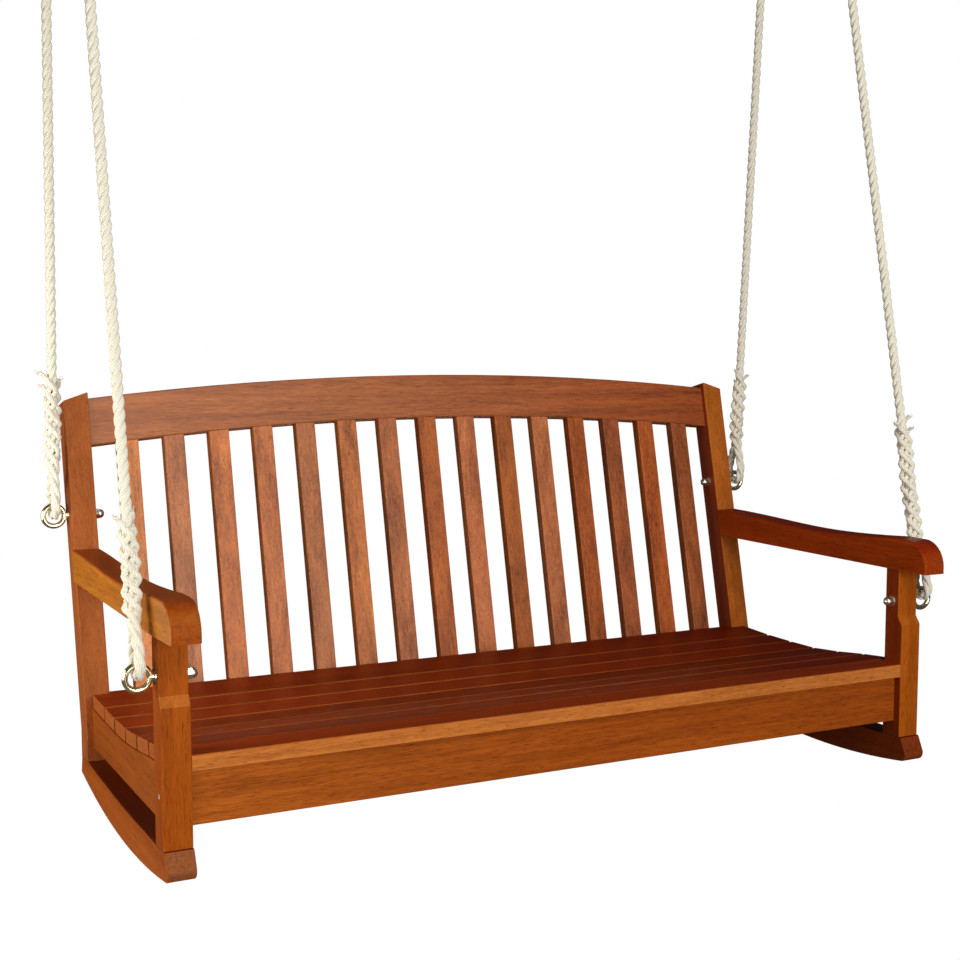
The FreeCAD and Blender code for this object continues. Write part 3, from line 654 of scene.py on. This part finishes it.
def boards():
    """Every board's node, colour, grain direction, end colour and other looks."""
    for side in ("left", "right"):
        shaded = [SHADED_SIDE] if side == "right" else []
        yield side + "_front_post", POST[side], "z", END, {"faces": [SHOULDER[side]] + shaded}
        yield side + "_rear_post", REAR[side], "rake", END, {"faces": shaded}
        yield side + "_skid", SKID[side], "y", SKID_END[side], {"faces": [SKID_TOP]}
        yield side + "_side_rail", FRAME, "y", END, {}
        yield side + "_arm", ARM[side], "y", NOSE[side], {"faces": [ARM_TOP]}
        yield side + "_seat_batten", FRAME, "y", END, {}
    yield "front_apron", APRON, "x", END, {"far": APRON_PAINTED_FALLOFF, "figure": 1.25}
    yield "rear_apron", APRON, "x", END, {}
    pale = {"sheen": (1.0, 0.86, 0.72), "shine": 0.48}
    yield "crest_rail", CREST, "x", END, {"far": CREST_PAINTED_FALLOFF, "figure": 1.5, **pale}
    yield "lower_back_rail", CREST, "x", END, pale
    yield "seat_slat_1", NOSING, "x", END, {"faces": [NOSING_TOP], "shine": 0.2}
    for k in range(2, 8):
        looks = {"faces": [SEAT_TOP], "far": SEAT_PAINTED_FALLOFF, "shine": 0.2}
        yield "seat_slat_%d" % k, SEAT_EDGE, "x", END, looks
    for k in range(1, BACK_SLATS + 1):
        # the back slats run from the left colour to the right one: painted light and sheen at the left,
        # painted shade at the right
        red, green, blue = between(BACK["left"], BACK["right"], (k - 1) / (BACK_SLATS - 1))
        pink = math.sin(2.9 * k + 1.0)
        colour = (red, green * (1 + 0.10 * pink), blue * (1 + 0.50 * pink))
        yield "back_slat_%02d" % k, colour, "rake", END, {"figure": 1.8, **pale}


def finishes():
    """A material of its own for every board, and shared ones for the fasteners."""
    for number, (name, colour, along, ends, looks) in enumerate(boards(), 1):
        paint_node(name, wood("oiled_" + name, tinted(colour, number), along, number, ends, **looks))
    beech = wood("beech_dowel", (0.48, 0.30, 0.15), "y", 99, (0.40, 0.24, 0.12), figure=0.5)
    paint_node("frame_dowels", beech)
    brass = metal("pale_brass", (0.83, 0.72, 0.46), 0.16)
    nickel = metal("bright_nut", (0.92, 0.84, 0.68), 0.26)
    zinc = metal("zinc_hook", (0.62, 0.62, 0.60), 0.30)
    for side in ("left", "right"):
        for row in ("front", "rear"):
            paint_node("%s_%s_eye_bolt" % (side, row), brass)
            paint_node("%s_%s_hook" % (side, row), zinc)
    paint_node("eye_bolt_washers", brass)
    paint_node("cap_nuts", nickel)
    paint_node("slat_pins", zinc)
    paint_node("post_screws", metal("screw_head", (0.95, 0.90, 0.78), 0.5))


# ---- stage, lights, camera ----
def seen_only(tree, seen, otherwise):
    """One shader for what the camera sees directly, another for all other light."""
    path = add(tree, "ShaderNodeLightPath")
    mix = add(tree, "ShaderNodeMixShader")
    tree.links.new(path.outputs["Is Camera Ray"], mix.inputs[0])
    tree.links.new(otherwise.outputs[0], mix.inputs[1])
    tree.links.new(seen.outputs[0], mix.inputs[2])
    return mix


def stage():
    """Floor that curves up into a backdrop. The camera sees it plain white, with no shadow on it;
    the light that it throws back on the object is that of a mid-grey paper."""
    half, back, radius, top, steps = 9.0, 5.0, 1.5, 5.0, 12
    profile = [(-half, 0.0), (back - radius, 0.0)]
    profile += [(back - radius + radius * math.sin(a), radius * (1 - math.cos(a)))
                for a in [math.pi / 2 * k / steps for k in range(1, steps + 1)]]
    profile.append((back, top))
    verts = [(x, y, z + FLOOR_Z) for y, z in profile for x in (-half, half)]
    faces = [(2 * k, 2 * k + 1, 2 * k + 3, 2 * k + 2) for k in range(len(profile) - 1)]
    mesh = bpy.data.meshes.new("floor")
    mesh.from_pydata(verts, [], faces)
    mesh.polygons.foreach_set("use_smooth", [True] * len(faces))
    mat, tree = new_material("white_paper")
    out = add(tree, "ShaderNodeOutputMaterial")
    glow = add(tree, "ShaderNodeEmission")
    glow.inputs["Color"].default_value = (1.0, 1.0, 1.0, 1.0)
    glow.inputs["Strength"].default_value = 1.0
    paper = add(tree, "ShaderNodeBsdfDiffuse")
    paper.inputs["Color"].default_value = (0.20, 0.18, 0.16, 1.0)
    tree.links.new(seen_only(tree, glow, paper).outputs[0], out.inputs[0])
    mesh.materials.append(mat)
    floor = link(bpy.data.objects.new("floor", mesh))
    floor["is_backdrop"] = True


def area_light(name, place, aim, size, power, colour=(1.0, 1.0, 1.0)):
    data = bpy.data.lights.new(name, "AREA")
    data.shape = "RECTANGLE"
    data.size, data.size_y = size
    data.energy = power
    data.color = colour
    obj = link(bpy.data.objects.new(name, data))
    obj.location = place
    obj.rotation_euler = (Vector(aim) - Vector(place)).to_track_quat("-Z", "Y").to_euler()


def lights():
    """Soft lights round the object, and a dim even light from all round."""
    middle = (0.0, -0.1, -1.25)
    dimmed = 0.085
    area_light("key", (-1.7, -1.3, -1.15), (-0.6, -0.2, -1.3), (0.8, 0.8), 6.0, (1.0, 0.97, 0.92))
    area_light("front", (0.3, -4.2, -0.85), middle, (1.6, 1.6), 82.0)
    area_light("side", (-1.3, -0.05, -1.1), (-0.6, 0.0, -1.2), (0.7, 0.6), 6.5, (1.0, 0.97, 0.90))
    area_light("sky", (-0.2, -2.5, 0.6), (-0.4, 0.0, -1.1), (1.2, 1.0), 28.0)
    area_light("back", (1.2, 2.8, -1.75), middle, (2.0, 0.8), 12.0)
    world = bpy.data.worlds.new("studio")
    world.use_nodes = True
    tree = world.node_tree
    tree.nodes.clear()
    out = add(tree, "ShaderNodeOutputWorld")
    white = add(tree, "ShaderNodeBackground")
    white.inputs["Color"].default_value = (1.0, 1.0, 1.0, 1.0)
    dim = add(tree, "ShaderNodeBackground")
    dim.inputs["Color"].default_value = (1.0, 1.0, 1.0, 1.0)
    dim.inputs["Strength"].default_value = dimmed
    tree.links.new(seen_only(tree, white, dim).outputs[0], out.inputs[0])
    bpy.context.scene.world = world


def camera():
    """The view of the object from its front left, a little higher than its back."""
    tilt_down, turn_right = 5.401, 26.795
    data = bpy.data.cameras.new("camera")
    data.sensor_width = 36.0
    data.lens = 55.78
    data.clip_end = 60.0
    obj = link(bpy.data.objects.new("camera", data))
    obj.location = (-1.0650, -2.1268, -0.8305)
    obj.rotation_euler = Euler((math.radians(90.0 - tilt_down), 0.0, math.radians(-turn_right)))
    bpy.context.scene.camera = obj


camera()
stage()
lights()
ropes()
finishes()
bpy.context.scene.view_settings.view_transform = "Standard"

bpy.context.view_layer.update()
boxes = {"cad": cad_box, "visual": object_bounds()}
{key: [list(corner) for corner in box] for key, box in boxes.items()}
